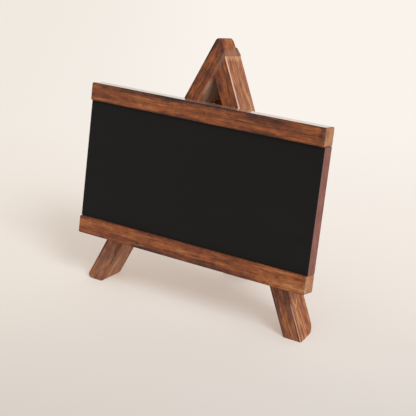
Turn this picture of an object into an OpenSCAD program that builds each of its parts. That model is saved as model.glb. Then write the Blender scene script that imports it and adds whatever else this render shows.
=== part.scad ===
// Tabletop chalkboard on an A-frame easel with a hinged rear leg.
//
// The origin is on the table, under the middle of the whole easel. +X is to the
// viewer's right, +Y runs to the back and +Z is up. The easel stands open.
//
// The front frame is drawn upright, in its own axes, and then leant back: x across,
// y to the back from the front faces of the two front legs, z up the slope.

/* [Board] */
// Length of the two rails and of the board between them
board_w = 300; // [260:1:360]
// Height of the framed board, measured up the slope
board_h = 174.5; // [140:0.5:190]
// Distance up the slope from the table to the board's lower edge
board_lift = 55.8; // [45:0.1:70]
// Height of each rail
rail_h = 20.2; // [17:0.1:25]
// Thickness of each rail
rail_t = 17.3; // [15:0.1:22]
// Depth of the writing surface behind the rails' front faces
sheet_recess = 2.7; // [1.5:0.1:4]
// Thickness of the chalkboard sheet
sheet_t = 3; // [2:0.5:4]
// Radius worn on the rails' corners, seen from the front
rail_corner_round = 2; // [1.2:0.1:4]

/* [Front frame] */
// Angle that the front frame leans back from upright
lean = 11.7; // [9:0.1:14]
// Distance between the outer arrises of the two front feet
feet_span = 291; // [260:1:350]
// Length up the slope from the table to the tip
frame_rise = 299.9; // [285:0.1:370]
// Width of each front leg's front face
leg_face = 20; // [16:0.1:24]
// Depth of each front leg, front to back
leg_depth = 31.2; // [26:0.1:38]
// Width of the flat across the tip
tip_flat = 5; // [4:0.1:8]
// Radius worn on the left end of the flat
tip_shoulder_round = 7; // [1:0.5:7]
// Angle of the bevel sawn on the back of the tip, from the legs' backs
tip_bevel = 28; // [20:1:40]
// Distance from the tip down to where the bevel starts
tip_bevel_drop = 16; // [10:0.5:20]
// Radius worn between the flat and the bevel
tip_round = 5; // [2:0.5:8]
// Width of the splinter broken off the bevel's right-hand arris
tip_chip_w = 2.2; // [1:0.1:4]
// Distance from the tip down to where the splinter ends
tip_chip_drop = 9.5; // [6:0.5:12]
// Radius worn on the back corner of the left foot
left_heel_round = 6.5; // [3:0.5:12]
// Radius worn on the back corner of the right foot
right_heel_round = 14; // [3:0.5:18]
// Radius worn on the outer corner of the left foot
left_toe_round = 5; // [1:0.5:7]
// Radius worn on the inner corner of the right foot
right_toe_round = 3; // [1:0.5:6]
// Radius of the sanded long arrises
arris_round = 1; // [0.5:0.1:1.5]

/* [Rear leg] */
// Angle between the front frame and the open rear leg
rear_open = 17; // [14:0.5:24]
// Width of the rear leg
rear_w = 36; // [34:0.1:42]
// Thickness of the rear leg
rear_t = 19.4; // [16:0.1:24]
// Radius worn on the back corner of the rear foot
rear_heel_round = 6; // [3:0.5:10]
// Radius worn on the back corner of the rear leg's top
rear_top_round = 2.5; // [1:0.5:3]
// Gap between the folded rear leg and the backs of the front legs
fold_gap = 0.5; // [0.3:0.1:1]

/* [Hinge] */
// Width of the butt hinge
hinge_w = 34; // [32:1:38]
// Length of each leaf, from the pin's axis
leaf_l = 13; // [10:0.5:14]
// Thickness of each leaf
leaf_t = 1; // [0.8:0.1:1.2]
// Outer radius of the knuckles
knuckle_r = 1.9; // [1.7:0.1:2.2]
// Radius of the hinge pin
pin_r = 1; // [0.8:0.05:1.1]
// Length of the rear leaf's middle knuckle
mid_knuckle_l = 10; // [8:0.5:12]
// Distance from the crotch of the A down to the pin's axis
hinge_drop = 26.2; // [22:0.1:30]

/* [Fixings] */
// Radius of the dowels between the rails and the board
dowel_r = 3; // [2:0.5:3.5]
// Depth that each dowel enters the rail, and the board
dowel_bite = 12; // [8:0.5:14]
// Radius of the headless nails
nail_r = 0.65; // [0.5:0.05:0.9]
// Depth that each nail is set below the surface
nail_set = 1; // [0.5:0.1:2]
// Depth that the nails through the rails enter the legs
rail_nail_bite = 18; // [12:0.5:24]
// Depth that the two nails through the left leg enter the right leg at the tip
tip_nail_bite = 11; // [6:0.5:12]
// Height of the lower nails above the bottom rail's lower edge
lower_nail_h = 8; // [6:0.1:12]
// Height of the upper nails above the top rail's lower edge
upper_nail_h = 10.2; // [6:0.1:12]
// Distance that the upper left nail strays outwards from the middle of its leg
nail_stray = 3.3; // [0:0.1:5]
// Shank radius of the hinge screws
hinge_screw_r = 1; // [0.8:0.1:1.2]
// Length of the hinge screws
hinge_screw_l = 10; // [8:0.5:14]
// Distance of the hinge screws in from the ends of each leaf
hinge_screw_in = 4.5; // [4:0.1:6]
// Clearance of a fixing in its hole, and of the pin in the knuckles
fit = 0.05; // [0.03:0.01:0.08]
// Gap between pieces of the hinge that pass each other
swing_gap = 0.3; // [0.2:0.05:0.4]

/* [Hidden] */
$fn = 48;
reach = 600;
side_margin = 1;

half_feet = feet_span / 2;
splay = atan((half_feet - tip_flat / 2) / frame_rise);
half_inner = half_feet - leg_face / cos(splay);
crotch_z = half_inner / tan(splay);
joint_l = leg_face / sin(2 * splay);
toe_turn = atan(sin(lean) * tan(splay));
toe_angle = asin(cos(lean) * sin(splay));
joint_mid = half_feet * sin(splay) + crotch_z * cos(splay) + joint_l / 2;

panel_h = board_h - 2 * rail_h;
panel_z = board_lift + rail_h;
backing_t = rail_t - sheet_recess - sheet_t;
lower_nail_z = board_lift + lower_nail_h;
upper_nail_z = panel_z + panel_h + upper_nail_h;

// Middle of a front leg's face at a height up the slope
function leg_mid_x(z) = (half_feet + half_inner) / 2 - z * tan(splay);
lower_nail_x = leg_mid_x(lower_nail_z);
upper_nail_x = leg_mid_x(upper_nail_z);
dowel_x = (lower_nail_x + upper_nail_x) / 2;

rail_nail_l = rail_t - nail_set + rail_nail_bite;
tip_nail_l = leg_face - nail_set + tip_nail_bite;
tip_nail_y = [leg_depth * 0.3, leg_depth * 0.7];

leaf_seat = knuckle_r + swing_gap;
hinge_y = leg_depth + leaf_seat;
hinge_z = crotch_z - hinge_drop;
hinge_screw_x = hinge_w / 2 - hinge_screw_in;
hinge_screw_z = leaf_seat + (leaf_l - leaf_seat) / 2;
rear_front = leaf_seat - fold_gap;
rear_back = rear_t - rear_front;
rear_tilt = rear_open - lean;

pin_world_y = hinge_z * sin(lean) + hinge_y * cos(lean);
pin_world_z = hinge_z * cos(lean) - hinge_y * sin(lean);
front_heel_y = leg_depth / cos(lean);
rear_heel_y = pin_world_y + rear_back / cos(rear_tilt) + pin_world_z * tan(rear_tilt);

// Foremost and rearmost points, which centre the easel over the origin
front_y = (board_lift + arris_round) * sin(lean)
    + (arris_round - rail_t) * cos(lean) - arris_round;
back_y = heel_centre(rear_heel_y, -rear_tilt, rear_heel_round) + rear_heel_round;
origin_y = (front_y + back_y) / 2;

// Where the centre of a heel's arc lies: the leg's back face meets the table at y,
// and leans back from upright by the angle
function heel_centre(y, angle, r) = y - r * (1 - sin(angle)) / cos(angle);

wood = "#8a5238";
slate = "#24211f";
brass = "#b9923f";
steel = "#9a9a98";

// ---- Placing ----

// Leans the upright front frame back, and centres the easel on the origin
module leaning() {
    translate([0, -origin_y, 0])
        rotate([-lean, 0, 0])
            children();
}

// Left leg's own axes in the upright frame: x inwards from its outer face,
// y to the back and z along the leg
module on_left_leg() {
    translate([-half_feet, 0, 0])
        rotate([0, splay, 0])
            children();
}

// The same for the right leg, mirrored
module on_right_leg() {
    mirror([1, 0, 0])
        on_left_leg()
            children();
}

// The pin's axis in the upright frame
module on_pin() {
    translate([0, hinge_y, hinge_z])
        children();
}

// Axes of the rear leg, which turn with it about the pin
module on_rear_leg() {
    leaning()
        on_pin()
            rotate([rear_open, 0, 0])
                children();
}

// The rear leaf is the frame leaf turned over, from the frame's back to the rear
// leg's top end
module turned_over() {
    mirror([0, 1, -1])
        children();
}

// ---- Shapes that repeat ----

// Batten with rounded long arrises, from the origin along +Z
module batten(x, y, l, r = arris_round) {
    linear_extrude(l)
        union() {
            translate([r, 0])
                square([x - 2 * r, y]);
            translate([0, r])
                square([x, y - 2 * r]);
            for (cx = [r, x - r], cy = [r, y - r])
                translate([cx, cy])
                    circle(r);
        }
}

// Everything below the table top
module below_table() {
    translate([-reach / 2, -reach / 2, -reach])
        cube([reach, reach, reach]);
}

// What a worn corner loses, outside an arc of radius r that touches both the
// table and a face. The face meets the table at 0 and leans by the angle, and
// the corner runs along +Z of this shape.
module worn_corner(angle, r, l) {
    centre = heel_centre(0, angle, r);
    corner_reach = r * 3;
    linear_extrude(l)
        difference() {
            polygon([
                [centre, r],
                [centre, -r],
                [corner_reach, -r],
                [centre + corner_reach * cos(angle), r - corner_reach * sin(angle)]
            ]);
            translate([centre, r])
                circle(r);
        }
}

// Worn back corner of a foot, right across the width of the easel
module worn_heel(y, angle, r) {
    translate([-reach / 2, y, 0])
        rotate([90, 0, 90])
            worn_corner(angle, r, reach);
}

// Countersunk hinge screw with its head's top at the origin, pointing down
module screw() {
    head_r = hinge_screw_r * 2;
    recess_w = hinge_screw_r * 0.5;
    recess_l = head_r * 1.3;
    recess_depth = hinge_screw_r * 0.6;
    difference() {
        union() {
            translate([0, 0, -hinge_screw_l])
                cylinder(h = hinge_screw_l, r = hinge_screw_r);
            translate([0, 0, -(head_r - hinge_screw_r)])
                cylinder(h = head_r - hinge_screw_r, r1 = hinge_screw_r, r2 = head_r);
        }
        for (turn = [0, 90])
            rotate([0, 0, turn])
                translate([-recess_l / 2, -recess_w / 2, -recess_depth])
                    cube([recess_l, recess_w, recess_depth * 2]);
    }
}

// Hole that the screw sits in, open above its head
module screw_hole() {
    head_r = hinge_screw_r * 2;
    translate([0, 0, -hinge_screw_l - fit])
        cylinder(h = hinge_screw_l + fit, r = hinge_screw_r + fit);
    translate([0, 0, -(head_r - hinge_screw_r)])
        cylinder(h = head_r - hinge_screw_r, r1 = hinge_screw_r + fit, r2 = head_r + fit);
    cylinder(h = knuckle_r, r = head_r + fit);
}

// Headless nail with its top nail_set below the origin, pointing down
module nail(l) {
    translate([0, 0, -nail_set - l])
        cylinder(h = l, r = nail_r);
}

// Hole that the nail leaves, open to the surface
module nail_hole(l) {
    translate([0, 0, -nail_set - l - fit])
        cylinder(h = l + nail_set + fit + side_margin, r = nail_r + fit);
}

// Places on the rails' front faces where nails go back into the legs
module at_rail_nails(places) {
    for (place = places)
        translate([place[0], -rail_t, place[1]])
            rotate([90, 0, 0])
                children();
}

module at_lower_nails() {
    at_rail_nails([[-lower_nail_x, lower_nail_z], [lower_nail_x, lower_nail_z]])
        children();
}

module at_upper_nails() {
    at_rail_nails([[-upper_nail_x - nail_stray, upper_nail_z], [upper_nail_x, upper_nail_z]])
        children();
}

module rail_nail_holes() {
    at_lower_nails()
        nail_hole(rail_nail_l);
    at_upper_nails()
        nail_hole(rail_nail_l);
}

// Places of the two nails across the joint at the tip, from the left leg's outer face
module at_tip_nails() {
    on_left_leg()
        for (y = tip_nail_y)
            translate([0, y, joint_mid])
                rotate([0, -90, 0])
                    children();
}

module tip_nail_holes() {
    at_tip_nails()
        nail_hole(tip_nail_l);
}

// Places of the dowels across one joint between a rail and the board
module at_dowels(z) {
    for (x = [-dowel_x, 0, dowel_x])
        translate([x, -backing_t / 2, z])
            children();
}

module dowel_holes(z) {
    depth = dowel_bite + fit;
    at_dowels(z)
        translate([0, 0, -depth])
            cylinder(h = 2 * depth, r = dowel_r + fit);
}

module dowels(z) {
    at_dowels(z)
        translate([0, 0, -dowel_bite])
            cylinder(h = 2 * dowel_bite, r = dowel_r);
}

// Places of a leaf's screws, in the pin's axes, with their heads flush with the leaf
module at_leaf_screws() {
    for (side = [-1, 1])
        translate([side * hinge_screw_x, leaf_t - leaf_seat, hinge_screw_z])
            rotate([-90, 0, 0])
                children();
}

module leaf_screw_holes() {
    at_leaf_screws()
        screw_hole();
}

module leaf_screws() {
    at_leaf_screws()
        screw();
}

// Stretch along the pin, between two places on X
module pin_stretch(from, to, r) {
    translate([from, 0, 0])
        rotate([0, 90, 0])
            cylinder(h = to - from, r = r);
}

// Leaf with its knuckles. Its stretches along the pin are its own knuckles, and it
// clears the other leaf's between them.
module leaf(stretches, gaps) {
    difference() {
        union() {
            translate([-hinge_w / 2, -leaf_seat, 0])
                cube([hinge_w, leaf_t, leaf_l]);
            for (part = stretches)
                pin_stretch(part[0], part[1], knuckle_r);
        }
        for (gap = gaps)
            translate([gap[0], -reach / 2, -leaf_seat])
                cube([gap[1] - gap[0], reach, 2 * leaf_seat]);
        pin_stretch(-hinge_w, hinge_w, pin_r + fit);
        leaf_screw_holes();
    }
}

// ---- Sub-parts ----

// Runs right through to the tip, and ends at the right leg's outer face. Its inner
// arrises stay square where the right leg butts against them.
module left_leg() {
    color(wood)
        difference() {
            leaning()
                difference() {
                    on_left_leg() {
                        translate([0, 0, -leg_depth])
                            batten(leg_face, leg_depth, frame_rise * 2);
                        translate([leg_face - arris_round, 0, joint_mid - joint_l / 2])
                            cube([arris_round, leg_depth, joint_l]);
                    }
                    on_right_leg()
                        translate([-reach, -side_margin, -reach / 2])
                            cube([reach, leg_depth + 2 * side_margin, 2 * reach]);
                    tip_cuts();
                    tip_chip();
                    rail_nail_holes();
                    tip_nail_holes();
                    on_pin()
                        leaf_screw_holes();
                }
            below_table();
            translate([0, -origin_y, 0]) {
                worn_heel(front_heel_y, lean, left_heel_round);
                worn_toe(-half_feet, -1, left_toe_round);
            }
        }
}

// Butts against the left leg's inner face
module right_leg() {
    color(wood)
        difference() {
            leaning()
                difference() {
                    on_right_leg()
                        translate([0, 0, -leg_depth])
                            batten(leg_face, leg_depth, frame_rise * 2);
                    on_left_leg()
                        translate([leg_face - reach, -side_margin, -reach / 2])
                            cube([reach, leg_depth + 2 * side_margin, 2 * reach]);
                    tip_cuts();
                    rail_nail_holes();
                    tip_nail_holes();
                    on_pin()
                        leaf_screw_holes();
                }
            below_table();
            translate([0, -origin_y, 0]) {
                worn_heel(front_heel_y, lean, right_heel_round);
                worn_toe(half_inner, 1, right_toe_round);
            }
        }
}

// Flat across the tip, the bevel behind it, and the corners worn round beside both
module tip_cuts() {
    bevel_in = tip_bevel_drop * tan(tip_bevel);
    cut_l = leg_depth + 2 * side_margin;
    translate([-reach / 2, -side_margin, frame_rise])
        cube([reach, cut_l, reach]);
    translate([-reach / 2, leg_depth, frame_rise - tip_bevel_drop])
        rotate([tip_bevel, 0, 0])
            cube([reach, reach, reach]);
    translate([-reach / 2, leg_depth - bevel_in, frame_rise])
        rotate([90, 0, 90])
            mirror([0, 1, 0])
                worn_corner(tip_bevel, tip_round, reach);
    translate([-tip_flat / 2, leg_depth + side_margin, frame_rise])
        rotate([90, 180, 0])
            worn_corner(splay, tip_shoulder_round, cut_l);
}

// Splinter broken off the arris between the bevel and the right-hand face of the tip
module tip_chip() {
    chip_turn = 35;
    arris_x = tip_flat / 2 + tip_chip_drop * tan(splay);
    arris_y = leg_depth - (tip_bevel_drop - tip_chip_drop) * tan(tip_bevel);
    translate([arris_x, arris_y, frame_rise - tip_chip_drop])
        rotate([tip_bevel, -splay, chip_turn])
            translate([-tip_chip_w * sin(chip_turn), -reach / 2, 0])
                cube([reach, reach, reach]);
}

// Worn left-hand corner of a foot, along the line where that face meets the table at x. The
// side is -1 on the left leg and 1 on the right one, whose face leans the other way.
module worn_toe(x, side, r) {
    translate([x, 0, 0])
        rotate([0, 0, side * toe_turn])
            translate([0, 2 * leg_depth, 0])
                rotate([90, 0, 0])
                    mirror([1, 0, 0])
                        worn_corner(side * toe_angle, r, 3 * leg_depth);
}

module rail(z) {
    translate([-board_w / 2, 0, z])
        intersection() {
            rotate([90, 0, 90])
                mirror([1, 0, 0])
                    batten(rail_t, rail_h, board_w);
            translate([0, side_margin, 0])
                rotate([90, 0, 0])
                    batten(board_w, rail_h, rail_t + 2 * side_margin, rail_corner_round);
        }
}

module top_rail() {
    color(wood)
        leaning()
            difference() {
                rail(panel_z + panel_h);
                dowel_holes(panel_z + panel_h);
                rail_nail_holes();
            }
}

module bottom_rail() {
    color(wood)
        leaning()
            difference() {
                rail(board_lift);
                dowel_holes(panel_z);
                rail_nail_holes();
            }
}

module chalkboard_sheet() {
    color(slate)
        leaning()
            translate([-board_w / 2, sheet_recess - rail_t, panel_z])
                cube([board_w, sheet_t, panel_h]);
}

module backing_board() {
    color(wood)
        leaning()
            difference() {
                translate([-board_w / 2, -backing_t, panel_z])
                    cube([board_w, backing_t, panel_h]);
                dowel_holes(panel_z);
                dowel_holes(panel_z + panel_h);
            }
}

module top_rail_dowels() {
    color(wood)
        leaning()
            dowels(panel_z + panel_h);
}

module bottom_rail_dowels() {
    color(wood)
        leaning()
            dowels(panel_z);
}

module top_rail_nails() {
    color(steel)
        leaning()
            at_upper_nails()
                nail(rail_nail_l);
}

module bottom_rail_nails() {
    color(steel)
        leaning()
            at_lower_nails()
                nail(rail_nail_l);
}

module tip_nails() {
    color(steel)
        leaning()
            at_tip_nails()
                nail(tip_nail_l);
}

module hinge_frame_leaf() {
    half = hinge_w / 2;
    mid = mid_knuckle_l / 2;
    clear = mid + swing_gap;
    color(brass)
        leaning()
            on_pin()
                leaf([[-half, -clear], [clear, half]], [[-clear, clear]]);
}

module hinge_pin() {
    color(brass)
        leaning()
            on_pin()
                pin_stretch(-hinge_w / 2, hinge_w / 2, pin_r);
}

module hinge_frame_screws() {
    color(brass)
        leaning()
            on_pin()
                leaf_screws();
}

// Hangs from the pin, with its foot cut flush with the table when it stands open
module rear_leg() {
    color(wood)
        difference() {
            on_rear_leg()
                difference() {
                    translate([-rear_w / 2, -rear_front, -leaf_seat - 2 * frame_rise])
                        batten(rear_w, rear_t, 2 * frame_rise);
                    translate([-reach / 2, rear_back, -leaf_seat])
                        rotate([90, 0, 90])
                            mirror([0, 1, 0])
                                worn_corner(0, rear_top_round, reach);
                    turned_over()
                        leaf_screw_holes();
                }
            below_table();
            translate([0, -origin_y, 0])
                worn_heel(rear_heel_y, -rear_tilt, rear_heel_round);
        }
}

module hinge_rear_leaf() {
    half = hinge_w / 2;
    mid = mid_knuckle_l / 2;
    color(brass)
        on_rear_leg()
            turned_over()
                leaf([[-mid, mid]], [[-half - side_margin, -mid], [mid, half + side_margin]]);
}

module hinge_rear_screws() {
    color(brass)
        on_rear_leg()
            turned_over()
                leaf_screws();
}

left_leg();
right_leg();
top_rail();
bottom_rail();
chalkboard_sheet();
backing_board();
top_rail_dowels();
bottom_rail_dowels();
top_rail_nails();
bottom_rail_nails();
tip_nails();
hinge_frame_leaf();
hinge_pin();
hinge_frame_screws();
rear_leg();
hinge_rear_leaf();
hinge_rear_screws();
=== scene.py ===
"""Tabletop chalkboard on an A-frame easel: finishes, light and camera around the CAD frame.

Lengths are metres, except in a piece's own grain axes, which are millimetres: a runs
across its face, b to the back and c along the grain, from the middle of the piece.
"""
import math

import bpy
from mathutils import Matrix, Vector

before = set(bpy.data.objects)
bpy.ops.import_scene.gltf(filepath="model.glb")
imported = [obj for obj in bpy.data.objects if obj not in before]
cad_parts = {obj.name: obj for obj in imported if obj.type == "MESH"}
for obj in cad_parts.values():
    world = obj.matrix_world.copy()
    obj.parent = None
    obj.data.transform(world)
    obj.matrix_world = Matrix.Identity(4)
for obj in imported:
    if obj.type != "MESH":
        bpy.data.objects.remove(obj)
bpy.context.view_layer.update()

MM = 0.001

# ---- Camera and light ----

# The camera looks at AIM from this side and height, in degrees
VIEW_AZIMUTH = 34.24
VIEW_ELEVATION = 21.8
VIEW_DISTANCE = 1.2285
AIM = (0.0276, -0.0560, 0.1257)
LENS_MM = 100.14
SENSOR_MM = 36.0

# The key light is broad and stands on the right, a little in front. The light all around
# it is warmer, because it comes back from the backdrop and the table.
KEY_AZIMUTH = 67.0
KEY_ELEVATION = 41.0
KEY_SPREAD = 24.0
KEY_STRENGTH = 1.75
KEY_COLOUR = (0.93, 0.975, 1.0)
WORLD_COLOUR = (1.0, 0.955, 0.915)
WORLD_STRENGTH = 0.66

FLOOR_RADIUS = 30.0

# Edges are eased where two faces meet at more than this angle, in degrees
EASED_ANGLE = 40
EASED_SEGMENTS = 3


def srgb(red, green, blue):
    """A colour given as it looks on a screen, 0 to 255, as the linear colour that shaders take."""
    parts = []
    for value in (red, green, blue):
        value /= 255
        parts.append(value / 12.92 if value <= 0.04045 else ((value + 0.055) / 1.055) ** 2.4)
    return (*parts, 1.0)


def towards(azimuth, elevation):
    """Unit vector from the object: azimuth 0 is the front, and 90 the right-hand side."""
    around, up = math.radians(azimuth), math.radians(elevation)
    return Vector((
        math.sin(around) * math.cos(up),
        -math.cos(around) * math.cos(up),
        math.sin(up),
    ))


def make_camera():
    camera = bpy.data.objects.new("camera", bpy.data.cameras.new("camera"))
    bpy.context.scene.collection.objects.link(camera)
    camera.data.lens = LENS_MM
    camera.data.sensor_width = SENSOR_MM
    back = towards(VIEW_AZIMUTH, VIEW_ELEVATION)
    camera.location = Vector(AIM) + back * VIEW_DISTANCE
    camera.rotation_euler = (-back).to_track_quat("-Z", "Y").to_euler()
    bpy.context.scene.camera = camera


def make_key():
    light = bpy.data.lights.new("key", "SUN")
    light.angle = math.radians(KEY_SPREAD)
    light.energy = KEY_STRENGTH
    light.color = KEY_COLOUR
    key = bpy.data.objects.new("key", light)
    bpy.context.scene.collection.objects.link(key)
    key.rotation_euler = (-towards(KEY_AZIMUTH, KEY_ELEVATION)).to_track_quat("-Z", "Y").to_euler()


def make_world():
    world = bpy.data.worlds.new("studio")
    world.use_nodes = True
    background = world.node_tree.nodes["Background"]
    background.inputs["Color"].default_value = (*WORLD_COLOUR, 1.0)
    background.inputs["Strength"].default_value = WORLD_STRENGTH
    bpy.context.scene.world = world
    bpy.context.scene.view_settings.view_transform = "Standard"


# ---- Nodes ----


class Graph:
    """One material's nodes. A value is a number, a tuple or another node's socket."""

    def __init__(self, name, seed):
        self.material = bpy.data.materials.new(name)
        self.material.use_nodes = True
        self.tree = self.material.node_tree
        self.tree.nodes.clear()
        self.seed = seed

    def node(self, kind, inputs, **settings):
        made = self.tree.nodes.new(kind)
        for name, value in settings.items():
            setattr(made, name, value)
        for name, value in inputs.items():
            if isinstance(value, bpy.types.NodeSocket):
                self.tree.links.new(value, made.inputs[name])
            else:
                made.inputs[name].default_value = value
        return made

    def math(self, operation, a, b=0.0, c=0.0):
        return self.node("ShaderNodeMath", {0: a, 1: b, 2: c}, operation=operation).outputs[0]

    def add(self, *values):
        total = values[0]
        for value in values[1:]:
            total = self.math("ADD", total, value)
        return total

    def times(self, a, b):
        return self.math("MULTIPLY", a, b)

    def less(self, a, b):
        return self.math("SUBTRACT", a, b)

    def swing(self, value, reach):
        """A value from 0 to 1 as a change of half the reach either way."""
        return self.times(self.less(value, 0.5), reach)

    def vector(self, operation, a, b=(0, 0, 0), c=(0, 0, 0)):
        made = self.node("ShaderNodeVectorMath", {0: a, 1: b, 2: c}, operation=operation)
        return made.outputs["Value" if operation in ("LENGTH", "DOT_PRODUCT") else "Vector"]

    def split(self, vector):
        return self.node("ShaderNodeSeparateXYZ", {0: vector}).outputs[:]

    def join(self, x, y, z):
        return self.node("ShaderNodeCombineXYZ", {0: x, 1: y, 2: z}).outputs[0]

    def step(self, value, low, high, to_low=0.0, to_high=1.0):
        """Smooth step from one value at low to another at high."""
        ends = {"From Min": low, "From Max": high, "To Min": to_low, "To Max": to_high}
        inputs = {"Value": value, **ends}
        made = self.node("ShaderNodeMapRange", inputs, interpolation_type="SMOOTHSTEP")
        return made.outputs[0]

    def noise(self, place, periods, detail=2.0, roughness=0.5):
        """Noise from 0 to 1, whose features are about as long as the periods along x, y and z."""
        self.seed += 1
        stretch = tuple(1 / period for period in periods)
        shift = (17.3 * self.seed, 5.9 * self.seed, 11.1 * self.seed)
        moved = self.vector("MULTIPLY_ADD", place, stretch, shift)
        return self.node(
            "ShaderNodeTexNoise",
            {"Vector": moved, "Scale": 1.0, "Detail": detail, "Roughness": roughness},
        ).outputs["Fac"]

    def ramp(self, value, stops, interpolation="LINEAR"):
        made = self.node("ShaderNodeValToRGB", {"Fac": value})
        made.color_ramp.interpolation = interpolation
        elements = made.color_ramp.elements
        while len(elements) < len(stops):
            elements.new(1.0)
        for element, (position, colour) in zip(elements, stops):
            element.position = position
            element.color = colour
        return made.outputs["Color"]

    def mix(self, amount, a, b, blend="MIX"):
        inputs = {0: amount, 6: a, 7: b}
        made = self.node("ShaderNodeMix", inputs, data_type="RGBA", blend_type=blend)
        return made.outputs[2]

    def multiply(self, a, b):
        """Two colours multiplied."""
        return self.mix(1.0, a, b, "MULTIPLY")

    def bump(self, height, depth_mm, strength=1.0):
        inputs = {"Height": height, "Distance": depth_mm * MM, "Strength": strength}
        return self.node("ShaderNodeBump", inputs).outputs[0]

    def finish(self, **inputs):
        """Ends the material in a Principled shader with these inputs, with _ for each space."""
        named = {name.replace("_", " "): value for name, value in inputs.items()}
        shader = self.node("ShaderNodeBsdfPrincipled", named)
        output = self.tree.nodes.new("ShaderNodeOutputMaterial")
        self.tree.links.new(shader.outputs[0], output.inputs["Surface"])
        return self.material


def coordinates(graph, output="Object"):
    """The place in the part's own axes, in metres, or another output of the same node."""
    return graph.node("ShaderNodeTexCoord", {}).outputs[output]


def facing(graph, direction, low=0.5, high=0.9):
    """How squarely a face looks that way: 0 up to the low cosine, and 1 from the high one."""
    normal = coordinates(graph, "Normal")
    return graph.step(graph.vector("DOT_PRODUCT", normal, tuple(direction)), low, high)


# ---- Grain axes ----

# Two directions are at right angles when their cosine is less than this
NEARLY_SQUARE = 0.1

# A face shows end grain more and more between these cosines with the grain
END_GRAIN = (0.6, 0.85)


def face_directions(mesh):
    """The directions that the mesh's faces look in, largest area first. Opposite faces count
    as one direction."""
    faces = {}
    for face in mesh.polygons:
        normal = face.normal
        if max(normal, key=abs) < 0:
            normal = -normal
        key = tuple(round(part, 2) for part in normal)
        area, total = faces.get(key, (0.0, Vector((0, 0, 0))))
        faces[key] = (area + face.area, total + normal * face.area)
    ranked = sorted(faces.values(), key=lambda entry: -entry[0])
    return [total.normalized() for _, total in ranked]


def span(mesh, axis):
    places = [vertex.co.dot(axis) for vertex in mesh.vertices]
    return min(places), max(places)


class Grain:
    """A straight piece's own axes, found from its faces."""

    def __init__(self, name):
        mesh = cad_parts[name].data
        self.find_axes(face_directions(mesh))
        axes = (self.across, self.back, self.along)
        spans = [span(mesh, axis) for axis in axes]
        self.half_mm = [(high - low) / 2 / MM for low, high in spans]
        middles = [axis * (low + high) / 2 for axis, (low, high) in zip(axes, spans)]
        self.middle = sum(middles, Vector())
        self.turn = Matrix(axes).transposed().to_euler()

    def find_axes(self, directions):
        """The two largest faces at right angles are the piece's back and one of its sides."""
        first = directions[0]
        second = next(normal for normal in directions if abs(normal.dot(first)) < NEARLY_SQUARE)
        back, side = (first, second) if abs(first.y) > abs(second.y) else (second, first)
        self.back = back if back.y > 0 else -back
        along = self.back.cross(side).normalized()
        self.along = along if along.x + along.z > 0 else -along
        self.across = self.back.cross(self.along)

    def place(self, graph):
        """The place in the grain axes, in millimetres."""
        return graph.node(
            "ShaderNodeMapping",
            {
                "Vector": coordinates(graph),
                "Location": self.middle,
                "Rotation": self.turn,
                "Scale": (MM, MM, MM),
            },
            vector_type="TEXTURE",
        ).outputs[0]

    def end(self, graph):
        """How squarely a face shows the end grain, from 0 to 1."""
        dot = graph.vector("DOT_PRODUCT", coordinates(graph, "Normal"), tuple(self.along))
        return graph.step(graph.math("ABSOLUTE", dot), *END_GRAIN)


# ---- Colours ----

# The stain over the pine, from the darkest tone to the palest
STAIN = [
    (0.00, srgb(38, 19, 11)),
    (0.20, srgb(80, 39, 20)),
    (0.40, srgb(119, 61, 28)),
    (0.60, srgb(154, 86, 39)),
    (0.80, srgb(178, 121, 79)),
    (1.00, srgb(206, 160, 118)),
]

# The stain is tinted with one or the other, in drifts along the grain
RUDDY = (1.0, 0.92, 0.95, 1.0)
AMBER = (1.0, 1.0, 0.9, 1.0)

# What shows instead of the stain, or mixed with it
# Rubbed arrises, paler still as a painted highlight where they face the key light
WORN_AND_HIGHLIGHT = srgb(224, 182, 162)
KNOT = srgb(38, 19, 12)
# Painted reflection of the bright backdrop, which the glossy top is paled towards
PAINTED_TOP_REFLECTION = srgb(222, 194, 177)
GREYED = srgb(150, 116, 96)
# Unstained sawn wood, paled further as painted light on a face in shade
SAWN_AND_PAINTED_LIGHT = srgb(176, 152, 132)

BOARD_EDGE = [
    (0.0, srgb(92, 48, 42)),
    (0.5, srgb(134, 80, 70)),
    (1.0, srgb(168, 112, 98)),
]
BOARD_VENEER = [
    (0.0, srgb(84, 45, 31)),
    (0.5, srgb(126, 74, 50)),
    (1.0, srgb(158, 104, 72)),
]
CHALKBOARD_PAINT = [
    (0.0, srgb(16, 15, 14)),
    (0.4, srgb(26, 25, 24)),
    (1.0, srgb(42, 39, 37)),
]
SHEET_EDGE = [(0.3, srgb(104, 74, 68)), (0.8, srgb(150, 114, 105))]
BEECH = [(0.3, srgb(196, 160, 120)), (0.7, srgb(222, 190, 150))]

# Metals: bright, and tarnished
WIRE = (srgb(168, 164, 158), srgb(92, 84, 78))
BRASS = (srgb(204, 156, 96), srgb(134, 94, 58))
RUBBED_BRASS = (srgb(228, 188, 124), srgb(168, 128, 80))

# The table's paper changes along the view, between FLOOR_FRONT and FLOOR_BACK metres behind the
# easel's middle, and across it, between FLOOR_LEFT and FLOOR_RIGHT: painted light falloff, darker
# to the front and to the left. It also glows a little, though it is no lamp: painted fill light,
# which keeps the shadows pale.
FLOOR_FRONT = -0.35
FLOOR_BACK = 0.65
FLOOR_LEFT = -0.4
FLOOR_RIGHT = 0.12
PAPER_AND_PAINTED_FALLOFF = [
    (0.0, (0.68, 0.635, 0.59, 1.0)),
    (0.22, (0.82, 0.765, 0.715, 1.0)),
    (0.36, (0.885, 0.825, 0.765, 1.0)),
    (0.62, (0.91, 0.85, 0.79, 1.0)),
    (1.0, (0.95, 0.91, 0.867, 1.0)),
]
PAINTED_FALLOFF_LEFT = (0.925, 0.91, 0.89, 1.0)
PAINTED_FALLOFF_RIGHT = (1.0, 1.0, 1.0, 1.0)
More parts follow.
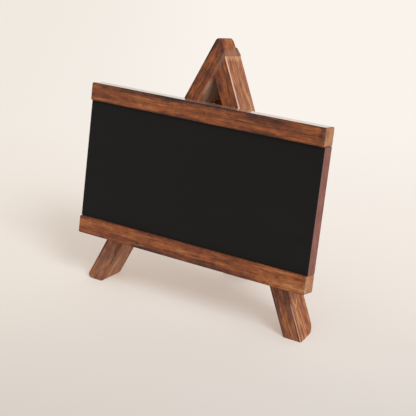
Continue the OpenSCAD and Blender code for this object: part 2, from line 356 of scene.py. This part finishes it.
# Painted fill light: the share of the paper's colour that glows, though the paper is no lamp
PAINTED_FILL_GLOW = (0.40, 0.33, 0.29, 1.0)
LIT = (0.61, 0.68, 0.72, 1.0)

# ---- Stained pine ----

# Each call of noise takes the next seed, so the order of the calls is part of the look.

# The layers of noise: how long their features are across the piece, to the back and along the
# grain, in millimetres, and then the noise's detail and roughness
RING_WANDER = ((40, 40, 110), 2)
RING_RAGGED = ((1.3, 1.3, 16), 3)
BAND = ((7, 7, 90), 3, 0.55)
FIBRE = ((0.55, 0.55, 8), 3, 0.65)
MOTTLE = ((4.5, 4.5, 10), 3, 0.62)
DASH = ((0.5, 0.5, 5.5), 2, 0.6)
DARK_STREAK = ((1.4, 1.4, 36), 3, 0.6)
SPECKLE = ((0.7, 0.7, 0.7), 3, 0.6)
PATCH_RAGGED = ((3, 3, 12), 3, 0.65)
ARROW_RAGGED = ((1.6, 1.6, 5), 3, 0.6)
GATHERED = ((4, 4, 16), 3, 0.6)
HUE = ((6, 6, 36), 3, 0.6)
WORN_HIGHLIGHT_NOISE = ((3, 3, 14), 3, 0.65)

# Width of the streaks. Their length is the piece's own.
STREAK_MM = 1.9

# The rings wander from their heart by half of this either way. A ring is ragged by half of its
# part of the ring's width.
WANDER_MM = 11
RAGGED_PART = 0.9

# Late wood sets in over one stretch of a ring's width and stops over another. Rings differ in
# strength, and each changes slowly along the grain.
LATE_SETS_IN = (0.3, 0.85)
LATE_STOPS = (0.9, 1.0)
RING_STRENGTH = (0.3, 1.0)
RING_DRIFT_PER_MM = 0.004

# The middle tone of the stain, and what each layer does to it. Noise moves it by half of its
# number either way, and a mark by the whole of it.
MIDDLE_TONE = 0.44
BAND_TONE = 0.75
STREAK_TONE = 0.8
MOTTLE_TONE = 0.6
FIBRE_TONE = 0.55
SPECKLE_TONE = 0.6
LATE_WOOD_TONE = -0.13
DARK_STREAK_TONE = -0.13
DASH_TONE = -0.08
GATHERED_TONE = -0.17
ARROW_TONE = 0.4

# Noise between these values is where a mark sets in
DASH_EDGE = (0.6, 0.72)
DARK_STREAK_EDGE = (0.58, 0.72)

# A face counts as the right-hand side or the top between these cosines with that direction. The
# right-hand side is painted lighter as painted key light, and the top is painted pale as a painted
# reflection
RIGHT_SIDE = (0.55, 0.85)
TOP_SIDE = (0.8, 0.98)

# The part of the long grain that doesn't show on the end grain
LOST_AT_ENDS = 0.55

# Around a knot, distance along the grain counts for less: in the rings, and in its own spot
KNOT_IN_RINGS = 0.3
KNOT_SPOT = 0.6

# In radii of the knot: how far out it moves the rings and by how much, and where its dark spot
# starts to fade and where it ends
KNOT_REACH = 4
KNOT_PUSH = 1.8
KNOT_FADE = 0.4
KNOT_END = 1.4

# A patch fades between these parts of its radii, with an edge as ragged as half of this
PATCH_FADE = (0.5, 1.25)
PATCH_RAGGEDNESS = 1.4

# An arrow's sides rise by this much for each millimetre away from its middle, and fade between
# these distances from it. Its second V stands higher by a step, and is half as strong. Each
# line is solid up to one distance from its centre line, and gone at the other.
ARROW_SLOPE = 1.6
ARROW_FADE_MM = (3.0, 7.5)
ARROW_STEP_MM = 5.5
ARROW_LINE_MM = (0.3, 2.6)
ARROW_SECOND_MM = (0.2, 2.2)
ARROW_RAGGED_MM = 2.2

# Gathered stain, and the worn and painted-highlight strip, reach in from an arris by up to this
# much, as the noise has it, and each fades out between two distances from there
GATHERED_MM = 3.2
GATHERED_FADE_MM = (-1.2, 0.9)
WORN_HIGHLIGHT_MM = 1.5
WORN_HIGHLIGHT_FADE_MM = (-0.15, 0.5)

# A worn and painted-highlight stretch of an arris starts and stops over this much either way
WORN_HIGHLIGHT_STOP_MM = 4

# Roughness of the pine, and what raises it, or lowers it on the glossy top
PINE_ROUGHNESS = 0.42
FIBRE_ROUGHNESS = 0.14
END_ROUGHNESS = 0.2
WORN_ROUGHNESS = 0.1
TOP_SMOOTHNESS = 0.3

# The relief of the pine's surface, the part of it that the glossy top has lost, and the depth
LATE_RELIEF = 0.4
FIBRE_RELIEF = 0.9
DASH_RELIEF = -0.7
TOP_FLATNESS = 0.75
RELIEF_MM = 0.1

# How much of the surface the clear coat covers, and how much more of the glossy top
COAT = 0.1
TOP_COAT = 0.85


def knot_distance(graph, place, knot, along):
    """Millimetres from a knot's middle, with distance along the grain made shorter."""
    away = graph.vector("SUBTRACT", place, knot[:3])
    return graph.vector("LENGTH", graph.vector("MULTIPLY", away, (1, 1, along)))


def growth_rings(graph, place, heart, ring_mm, knots):
    """How far the late wood of a ring shows, from 0 to 1. The rings centre on the heart, wander
    along the piece and part round each knot."""
    a, b, c = graph.split(place)
    wander_a = graph.swing(graph.noise(place, *RING_WANDER), WANDER_MM)
    wander_b = graph.swing(graph.noise(place, *RING_WANDER), WANDER_MM)
    across = graph.add(a, -heart[0], wander_a)
    back = graph.add(b, -heart[1], wander_b)
    radius = graph.vector("LENGTH", graph.join(across, back, 0.0))
    for knot in knots:
        far = knot_distance(graph, place, knot, KNOT_IN_RINGS)
        knot_r = knot[3]
        push = graph.step(far, 0.0, knot_r * KNOT_REACH, knot_r * KNOT_PUSH, 0.0)
        radius = graph.add(radius, push)
    ragged = graph.swing(graph.noise(place, *RING_RAGGED), RAGGED_PART)
    rings = graph.add(graph.math("DIVIDE", radius, ring_mm), ragged)
    within = graph.math("FRACT", rings)
    sets_in = graph.step(within, *LATE_SETS_IN)
    late = graph.times(sets_in, graph.step(within, *LATE_STOPS, 1.0, 0.0))
    ring = graph.join(graph.math("FLOOR", rings), 0.0, graph.times(c, RING_DRIFT_PER_MM))
    strength = graph.step(graph.noise(ring, (1, 1, 1), 0), 0.25, 0.75, *RING_STRENGTH)
    return graph.times(late, strength)


def grain_layers(graph, place, run_mm):
    """The layers of the grain. dash and dark_streak are marks, and the others plain noise."""
    return {
        "band": graph.noise(place, *BAND),
        "streak": graph.noise(place, (STREAK_MM, STREAK_MM, run_mm), 3, 0.6),
        "fibre": graph.noise(place, *FIBRE),
        "mottle": graph.noise(place, *MOTTLE),
        "dash": graph.step(graph.noise(place, *DASH), *DASH_EDGE),
        "dark_streak": graph.step(graph.noise(place, *DARK_STREAK), *DARK_STREAK_EDGE),
        "speckle": graph.noise(place, *SPECKLE),
    }


def pine_faces(graph, grain, top):
    """How far a face counts as end grain, as the right-hand side, which is painted lighter as
    painted key light, and as the top, which is painted pale as a painted reflection.
    """
    return {
        "end": grain.end(graph),
        "right": facing(graph, (1, 0, 0), *RIGHT_SIDE),
        "top": facing(graph, -grain.across, *TOP_SIDE) if top else 0.0,
    }


def long_grain(graph, layers, late, figure):
    """How far the long grain moves the tone."""
    return graph.add(
        graph.swing(layers["band"], BAND_TONE * figure),
        graph.swing(layers["streak"], STREAK_TONE * figure),
        graph.swing(layers["mottle"], MOTTLE_TONE * figure),
        graph.swing(layers["fibre"], FIBRE_TONE),
        graph.times(late, LATE_WOOD_TONE * figure),
        graph.times(layers["dark_streak"], DARK_STREAK_TONE * figure),
        graph.times(layers["dash"], DASH_TONE),
    )


def plain_tone(graph, layers, late, faces, look):
    """The tone of the stain all over the piece, before its marks."""
    kept = graph.less(1.0, graph.times(faces["end"], LOST_AT_ENDS))
    speckled = graph.add(look["ends"], graph.swing(layers["speckle"], SPECKLE_TONE))
    return graph.add(
        MIDDLE_TONE + look["light"],
        graph.times(long_grain(graph, layers, late, look["figure"]), kept),
        # Painted light: the right-hand face, which faces the key light, is painted lighter
        graph.times(faces["right"], look["right"]),
        graph.times(faces["end"], speckled),
    )


def soft_patch(graph, place, centre, radii, most):
    """The most around its centre, and 0 a little beyond its three radii, with a ragged edge."""
    shrink = [1 / radius for radius in radii]
    away = graph.vector("MULTIPLY", graph.vector("SUBTRACT", place, centre), shrink)
    ragged = graph.swing(graph.noise(place, *PATCH_RAGGED), PATCH_RAGGEDNESS)
    return graph.step(graph.add(graph.vector("LENGTH", away), ragged), *PATCH_FADE, most, 0.0)


def arrow_mark(graph, place, side, foot, most):
    """Pale Vs, one above the other, where the rings run out on the right-hand face. The lower
    one stands on its foot (b, c)."""
    _, b, c = graph.split(place)
    ragged = graph.swing(graph.noise(place, *ARROW_RAGGED), ARROW_RAGGED_MM)
    off = graph.math("ABSOLUTE", graph.add(graph.less(b, foot[0]), ragged))
    above = graph.less(graph.less(c, foot[1]), graph.times(off, ARROW_SLOPE))
    lower = graph.step(graph.math("ABSOLUTE", above), *ARROW_LINE_MM, most, 0.0)
    from_second = graph.math("ABSOLUTE", graph.less(above, ARROW_STEP_MM))
    lines = graph.add(lower, graph.step(from_second, *ARROW_SECOND_MM, most * 0.5, 0.0))
    return graph.times(graph.times(lines, side), graph.step(off, *ARROW_FADE_MM, 1.0, 0.0))


def arris_distance(graph, half_mm, a, b):
    """Millimetres from the long arris that a and b grow towards, counted along both faces."""
    return graph.add(graph.less(half_mm[0], a), graph.less(half_mm[1], b))


def gathered_stain(graph, place, half_mm):
    """How much darker the tone is where the stain has gathered along the arrises."""
    a, b, _ = graph.split(place)
    near_a = graph.math("ABSOLUTE", a)
    near_b = graph.math("ABSOLUTE", b)
    away = arris_distance(graph, half_mm, near_a, near_b)
    gathered = graph.times(graph.noise(place, *GATHERED), GATHERED_MM)
    return graph.step(graph.less(away, gathered), *GATHERED_FADE_MM, GATHERED_TONE, 0.0)


def marked_tone(graph, place, tone, faces, half_mm, look):
    """The tone with its patches, its arrow and the stain along its arrises."""
    for centre, radii, change in look["patches"]:
        tone = graph.add(tone, soft_patch(graph, place, centre, radii, change))
    if look["arrow"]:
        arrow = arrow_mark(graph, place, faces["right"], look["arrow"], ARROW_TONE)
        tone = graph.add(tone, arrow)
    return graph.add(tone, gathered_stain(graph, place, half_mm))


def stain_colour(graph, place, tone):
    hue = graph.step(graph.noise(place, *HUE), 0.38, 0.62)
    return graph.multiply(graph.ramp(tone, STAIN), graph.mix(hue, RUDDY, AMBER))


def knot_spot(graph, place, knot):
    near = knot_distance(graph, place, knot, KNOT_SPOT)
    radius, dark = knot[3:]
    return graph.step(near, radius * KNOT_FADE, radius * KNOT_END, dark, 0.0)


def marked_colour(graph, place, colour, layers, faces, look):
    """The colour with its tints and knots, and the top paled as a painted reflection."""
    for centre, radii, tint, most in look["tints"]:
        colour = graph.mix(soft_patch(graph, place, centre, radii, most), colour, tint)
    for knot in look["knots"]:
        colour = graph.mix(knot_spot(graph, place, knot), colour, KNOT)
    top = look["top"]
    if top:
        # Painted reflection: the top face is paled, as the backdrop would shine in it
        pale_amount = graph.times(faces["top"], graph.step(layers["fibre"], 0.2, 0.6, top * 0.75, top))
        colour = graph.mix(pale_amount, colour, PAINTED_TOP_REFLECTION)
    return colour


def worn_highlight_arris(graph, place, half_mm, side_a, side_b, low, high, paleness):
    """How pale one arris is, from 0 to 1: partly rubbed wear, partly a painted highlight."""
    a, b, c = graph.split(place)
    near = arris_distance(graph, half_mm, graph.times(a, side_a), graph.times(b, side_b))
    patchy = graph.times(graph.noise(place, *WORN_HIGHLIGHT_NOISE), WORN_HIGHLIGHT_MM)
    strip = graph.step(graph.less(near, patchy), *WORN_HIGHLIGHT_FADE_MM, paleness, 0.0)
    starts = graph.step(c, low - WORN_HIGHLIGHT_STOP_MM, low + WORN_HIGHLIGHT_STOP_MM)
    stops = graph.step(c, high - WORN_HIGHLIGHT_STOP_MM, high + WORN_HIGHLIGHT_STOP_MM, 1.0, 0.0)
    return graph.times(strip, graph.times(starts, stops))


def pine_surface(graph, colour, layers, late, faces, worn_highlight):
    """The pine's relief and gloss. The top, which is painted pale as a reflection, is smoother,
    and the coat covers most of it.
    """
    relief = graph.add(
        graph.times(late, LATE_RELIEF),
        graph.times(layers["fibre"], FIBRE_RELIEF),
        graph.times(layers["dash"], DASH_RELIEF),
    )
    relief = graph.times(relief, graph.less(1.0, graph.times(faces["top"], TOP_FLATNESS)))
    rough = graph.add(
        PINE_ROUGHNESS,
        graph.times(layers["fibre"], FIBRE_ROUGHNESS),
        graph.times(faces["end"], END_ROUGHNESS),
        graph.times(worn_highlight, WORN_ROUGHNESS),
    )
    return graph.finish(
        Base_Color=colour,
        Roughness=graph.less(rough, graph.times(faces["top"], TOP_SMOOTHNESS)),
        Normal=graph.bump(relief, RELIEF_MM, 0.8),
        Specular_IOR_Level=0.32,
        Coat_Weight=graph.add(COAT, graph.times(faces["top"], TOP_COAT)),
        Coat_Roughness=0.14,
        Coat_IOR=1.8,
    )


def stained_pine(name, look):
    """Stained softwood. The look says how the piece differs from PLAIN_PINE."""
    look = {**PLAIN_PINE, **look}
    grain = Grain(name)
    graph = Graph(name + "_stained_pine", look["seed"])
    place = grain.place(graph)
    faces = pine_faces(graph, grain, look["top"])
    late = growth_rings(graph, place, look["heart"], look["ring_mm"], look["knots"])
    layers = grain_layers(graph, place, look["run_mm"])
    tone = plain_tone(graph, layers, late, faces, look)
    tone = marked_tone(graph, place, tone, faces, grain.half_mm, look)
    colour = stain_colour(graph, place, tone)
    colour = marked_colour(graph, place, colour, layers, faces, look)
    worn_highlight = 0.0
    # Arrises paled partly by wear and partly as a painted highlight
    for arris in look["worn_highlights"]:
        pale_amount = worn_highlight_arris(graph, place, grain.half_mm, *arris)
        worn_highlight = graph.math("MAXIMUM", worn_highlight, pale_amount)
    if look["worn_highlights"]:
        colour = graph.mix(worn_highlight, colour, WORN_AND_HIGHLIGHT)
    return pine_surface(graph, colour, layers, late, faces, worn_highlight)


# ---- Other finishes ----

# Layers of noise, in the same form as the pine's
BOARD_FIBRE = ((0.6, 0.4, 2.2), 4, 0.65)
BOARD_CLOUD = ((14, 9, 30), 3, 0.55)
BOARD_BRUSHED = ((1.4, 3, 60), 2, 0.6)
VENEER_FIGURE = ((9, 9, 120), 4, 0.6)
VENEER_PORES = ((0.5, 0.5, 7), 2, 0.6)
PAINT_GRIT = ((0.35, 0.35, 0.35), 3, 0.7)
WIPED_CHALK = ((7, 7, 55), 4, 0.6)
CHALK_HAZE = ((60, 60, 90), 2, 0.5)
SHEET_FIBRE = ((1.2, 0.5, 9), 3, 0.6)
BEECH_FLECK = ((0.5, 0.5, 6), 3, 0.6)
METAL_BRUSHED = ((6, 0.12, 0.12), 3, 0.6)
METAL_TARNISH = ((5, 5, 5), 4, 0.65)

# The paper's tooth, in metres
PAPER_TOOTH = ((0.004, 0.004, 0.004), 2, 0.5)

# The veneer's rings are the sine of this many times its figure
VENEER_RINGS = 55


def board_edge(graph, tone, from_back):
    """The thin stain on the backing board's edges, gathered at their back arris."""
    gathered = graph.step(from_back, 0.8, 2.6, -0.3, 0.0)
    return graph.ramp(graph.add(tone, gathered), BOARD_EDGE)


def board_veneer(graph, place, tone):
    """The plain veneer on the backing board's back, and its pores."""
    figure = graph.noise(place, *VENEER_FIGURE)
    rings = graph.math("SINE", graph.times(figure, VENEER_RINGS))
    pores = graph.step(graph.noise(place, *VENEER_PORES), 0.6, 0.72)
    veneer_tone = graph.add(tone, graph.times(rings, 0.13), graph.times(pores, -0.2))
    return graph.ramp(veneer_tone, BOARD_VENEER), pores


def stained_board():
    """Backing board: a plain veneer on its back, and fine fibres under a thin reddish stain on
    its edges."""
    grain = Grain("backing_board")
    graph = Graph("backing_board_stain", seed=70)
    place = grain.place(graph)
    fibre = graph.noise(place, *BOARD_FIBRE)
    cloud = graph.noise(place, *BOARD_CLOUD)
    brushed = graph.noise(place, *BOARD_BRUSHED)
    tone = graph.add(
        0.5, graph.swing(fibre, 0.7), graph.swing(cloud, 0.9), graph.swing(brushed, 0.35)
    )
    from_back = graph.less(grain.half_mm[1], graph.split(place)[1])
    edge = board_edge(graph, tone, graph.add(from_back, cloud))
    veneer, pores = board_veneer(graph, place, tone)
    return graph.finish(
        Base_Color=graph.mix(facing(graph, grain.back), edge, veneer),
        Roughness=graph.add(0.5, graph.times(fibre, 0.25)),
        Normal=graph.bump(graph.less(fibre, graph.times(pores, 0.5)), 0.06, 0.7),
        Specular_IOR_Level=0.35,
    )


def chalkboard():
    """Near-black chalkboard paint, with a faint haze of wiped chalk, on a paler sheet."""
    grain = Grain("chalkboard_sheet")
    graph = Graph("chalkboard_paint", seed=90)
    place = grain.place(graph)
    grit = graph.noise(place, *PAINT_GRIT)
    wiped = graph.noise(place, *WIPED_CHALK)
    haze = graph.noise(place, *CHALK_HAZE)
    chalk = graph.times(graph.step(wiped, 0.35, 0.8), graph.step(haze, 0.35, 0.75))
    tone = graph.add(graph.times(chalk, 0.2), graph.swing(grit, 0.5), 0.27)
    paint = graph.ramp(tone, CHALKBOARD_PAINT)
    edge = graph.ramp(graph.noise(place, *SHEET_FIBRE), SHEET_EDGE)
    return graph.finish(
        Base_Color=graph.mix(facing(graph, -grain.back), edge, paint),
        Roughness=graph.add(0.56, graph.times(grit, 0.2), graph.times(chalk, 0.12)),
        Normal=graph.bump(grit, 0.03, 0.6),
        Specular_IOR_Level=0.14,
    )


def place_mm(graph):
    """The place in the part's own axes, in millimetres."""
    return graph.vector("MULTIPLY", coordinates(graph), (1 / MM,) * 3)


def beech():
    graph = Graph("beech_dowel", seed=110)
    fleck = graph.noise(place_mm(graph), *BEECH_FLECK)
    colour = graph.ramp(fleck, BEECH)
    return graph.finish(Base_Color=colour, Roughness=0.6, Normal=graph.bump(fleck, 0.04))


def metal(name, colours, rough, seed):
    """Rolled sheet or wire: a fine brushed grain, and a patchy tarnish."""
    graph = Graph(name, seed)
    place = place_mm(graph)
    brushed = graph.noise(place, *METAL_BRUSHED)
    tarnish = graph.noise(place, *METAL_TARNISH)
    bright, dull = colours
    return graph.finish(
        Base_Color=graph.mix(graph.step(tarnish, 0.38, 0.8), bright, dull),
        Metallic=1.0,
        Roughness=graph.add(rough, graph.times(tarnish, 0.25), graph.times(brushed, 0.1)),
        Normal=graph.bump(brushed, 0.01, 0.5),
    )


def paper_and_painted_falloff(graph, place):
    """Pale paper with painted light falloff: lighter to the back and to the right of the view,
    darker to the front and the left.
    """
    ahead = towards(VIEW_AZIMUTH + 180, 0)
    aside = towards(VIEW_AZIMUTH + 90, 0)
    depth = graph.vector("DOT_PRODUCT", place, tuple(ahead))
    side = graph.vector("DOT_PRODUCT", place, tuple(aside))
    back = graph.times(graph.less(depth, FLOOR_FRONT), 1 / (FLOOR_BACK - FLOOR_FRONT))
    right = graph.step(side, FLOOR_LEFT, FLOOR_RIGHT)
    paper = graph.ramp(back, PAPER_AND_PAINTED_FALLOFF, "B_SPLINE")
    return graph.multiply(paper, graph.mix(right, PAINTED_FALLOFF_LEFT, PAINTED_FALLOFF_RIGHT))


def floor_finish():
    graph = Graph("paper_with_painted_light", seed=130)
    place = coordinates(graph)
    tooth = graph.noise(place, *PAPER_TOOTH)
    paper = paper_and_painted_falloff(graph, place)
    return graph.finish(
        Base_Color=graph.multiply(paper, LIT),
        # The glow is painted fill light, which keeps the shadows pale
        Emission_Color=graph.multiply(paper, PAINTED_FILL_GLOW),
        Emission_Strength=1.0,
        Roughness=0.85,
        Specular_IOR_Level=0.1,
        Normal=graph.bump(tooth, 0.05, 0.2),
    )


# ---- What marks each piece of pine ----

# A leg's c grows towards the tip and its a to the right. A rail's c grows to the right and its
# a downwards. On all of them b grows to the back. A place is (a, b, c).
PLAIN_PINE = {
    # Where the rings centre, across and to the back, and the width of a ring
    "heart": (14.0, 60.0),
    "ring_mm": 2.3,
    # Where the noise's seeds start
    "seed": 0,
    # How far the tone is raised all over, on the right-hand face as painted key light, and on the
    # end grain
    "light": 0.0,
    "right": 0.0,
    "ends": 0.12,
    # How strongly the grain shows, and how long its streaks are
    "figure": 1.0,
    "run_mm": 26.0,
    # Each knot's place, radius and darkness, as (a, b, c, radius, darkness)
    "knots": (),
    # Where the tone is raised or lowered: place, three radii and change of tone
    "patches": (),
    # Where another colour shows: place, three radii, the colour and how strong it is
    "tints": (),
    # Arrises paled, partly rubbed bare and partly a painted highlight: signs across and to the
    # back, the stretch of c, and how pale
    "worn_highlights": (),
    # How far the upper face is painted pale, as a painted reflection of the bright backdrop
    "top": 0.0,
    # The foot (b, c) of an arrow in the grain of the right-hand face
    "arrow": None,
}
LEFT_LEG = {
    "heart": (-30, 26), "ring_mm": 2.0, "seed": 3,
    # Its inner, right-hand face is painted lighter as painted key light
    "light": 0.05, "right": 0.1, "ends": -0.02, "figure": 1.3,
    "patches": [
        ((4, 14, 150), (14, 7, 16), -0.3),
        ((-4, -16, 155), (9, 9, 12), -0.22),
        ((4, -10, 120), (9, 14, 12), -0.1),
        ((2, 0, -135), (14, 20, 42), 0.12),
    ],
    "tints": [
        ((0, 0, -140), (16, 24, 46), GREYED, 0.35),
        ((12, 0, 152), (9, 26, 26), GREYED, 0.5),
        # The inner face in the opening under the tip: sawn wood, paled further as painted light
        ((11, 2, 110), (5, 30, 22), SAWN_AND_PAINTED_LIGHT, 0.55),
    ],
}
RIGHT_LEG = {
    "heart": (34, 10), "ring_mm": 2.6, "seed": 19,
    # Its right-hand face is painted lighter as painted key light
    "light": 0.08, "right": 0.23, "figure": 1.25,
    "patches": [
        ((-6, -16, 132), (8, 8, 16), -0.16),
        ((2, -16, 60), (10, 8, 14), -0.12),
        ((5, -16, -146), (4, 5, 14), 0.22),
        ((-3, -16, -130), (14, 6, 44), -0.1),
        ((11, 0, -135), (5, 20, 40), -0.06),
        ((10, 0, 156), (9, 30, 6), 0.18),
    ],
    "tints": [
        ((-2, -16, -135), (14, 7, 44), GREYED, 0.12),
        ((11, 0, 90), (5, 24, 90), GREYED, 0.15),
    ],
    # Its front right arris, which faces the key light, is worn and carries a painted highlight
    "worn_highlights": [(1, -1, -170, -115, 0.45), (1, -1, 60, 160, 0.95)],
    "arrow": (-6.5, -119),
}
REAR_LEG = {"heart": (10, 44), "ring_mm": 2.4, "seed": 37}
TOP_RAIL = {
    "heart": (9, 52), "ring_mm": 2.1, "seed": 51,
    "knots": [(-0.3, -8.6, 4.0, 0.9, 0.8), (-6.4, -8.6, 147.0, 0.9, 0.8)],
    # Its top takes a painted reflection
    "light": 0.015, "ends": 0.36, "top": 0.36, "run_mm": 46.0,
    "patches": [((-9, -8, -60), (5, 8, 95), -0.16), ((-4, -8, 147), (8, 8, 5), -0.2)],
    "tints": [((0, 0, 150), (14, 12, 4), GREYED, 0.3)],
}
BOTTOM_RAIL = {
    "heart": (-6, 46), "ring_mm": 2.4, "seed": 59,
    "knots": [(4.4, -8.6, -65.7, 1.5, 0.75), (-1.5, -8.6, 116.0, 2.0, 0.35)],
    "light": 0.015, "ends": 0.28, "run_mm": 46.0,
    "patches": [((0, -8, 118), (16, 12, 40), 0.22), ((9, -8, 25), (4, 8, 90), -0.11)],
    "tints": [((0, 0, 150), (14, 12, 4), GREYED, 0.3)],
}

# How far the edges of each piece are eased, in millimetres
LEG_EASED = 0.6
RAIL_EASED = 0.8
SHEET_EASED = 0.25
BOARD_EASED = 0.3
HINGE_EASED = 0.12

# ---- Building ----


def dress(name, material, eased_mm=0.0):
    """Gives a CAD node its finish and, where the CAD left them sharp, slightly eased edges."""
    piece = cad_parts[name]
    piece.data.materials.clear()
    piece.data.materials.append(material)
    if eased_mm:
        bevel = piece.modifiers.new("eased", "BEVEL")
        bevel.width = eased_mm * MM
        bevel.segments = EASED_SEGMENTS
        bevel.limit_method = "ANGLE"
        bevel.angle_limit = math.radians(EASED_ANGLE)


def dress_pine():
    dress("left_leg", stained_pine("left_leg", LEFT_LEG), LEG_EASED)
    dress("right_leg", stained_pine("right_leg", RIGHT_LEG), LEG_EASED)
    dress("rear_leg", stained_pine("rear_leg", REAR_LEG), LEG_EASED)
    dress("top_rail", stained_pine("top_rail", TOP_RAIL), RAIL_EASED)
    dress("bottom_rail", stained_pine("bottom_rail", BOTTOM_RAIL), RAIL_EASED)


def dress_board():
    dress("chalkboard_sheet", chalkboard(), SHEET_EASED)
    dress("backing_board", stained_board(), BOARD_EASED)


def dress_fixings():
    dowel = beech()
    for name in ("top_rail_dowels", "bottom_rail_dowels"):
        dress(name, dowel)
    wire = metal("wire_nail", WIRE, 0.35, 150)
    for name in ("top_rail_nails", "bottom_rail_nails", "tip_nails"):
        dress(name, wire)
    brass = metal("hinge_brass", BRASS, 0.34, 170)
    for name in ("hinge_frame_leaf", "hinge_rear_leaf", "hinge_pin"):
        dress(name, brass, HINGE_EASED)
    rubbed_brass = metal("hinge_screw_brass", RUBBED_BRASS, 0.26, 190)
    for name in ("hinge_frame_screws", "hinge_rear_screws"):
        dress(name, rubbed_brass, HINGE_EASED)


def make_floor():
    signs = ((-1, -1), (1, -1), (1, 1), (-1, 1))
    corners = [(x * FLOOR_RADIUS, y * FLOOR_RADIUS, 0) for x, y in signs]
    mesh = bpy.data.meshes.new("floor")
    mesh.from_pydata(corners, [], [(0, 1, 2, 3)])
    floor = bpy.data.objects.new("floor", mesh)
    bpy.context.scene.collection.objects.link(floor)
    mesh.materials.append(floor_finish())


make_camera()
make_world()
make_key()
make_floor()
dress_pine()
dress_board()
dress_fixings()
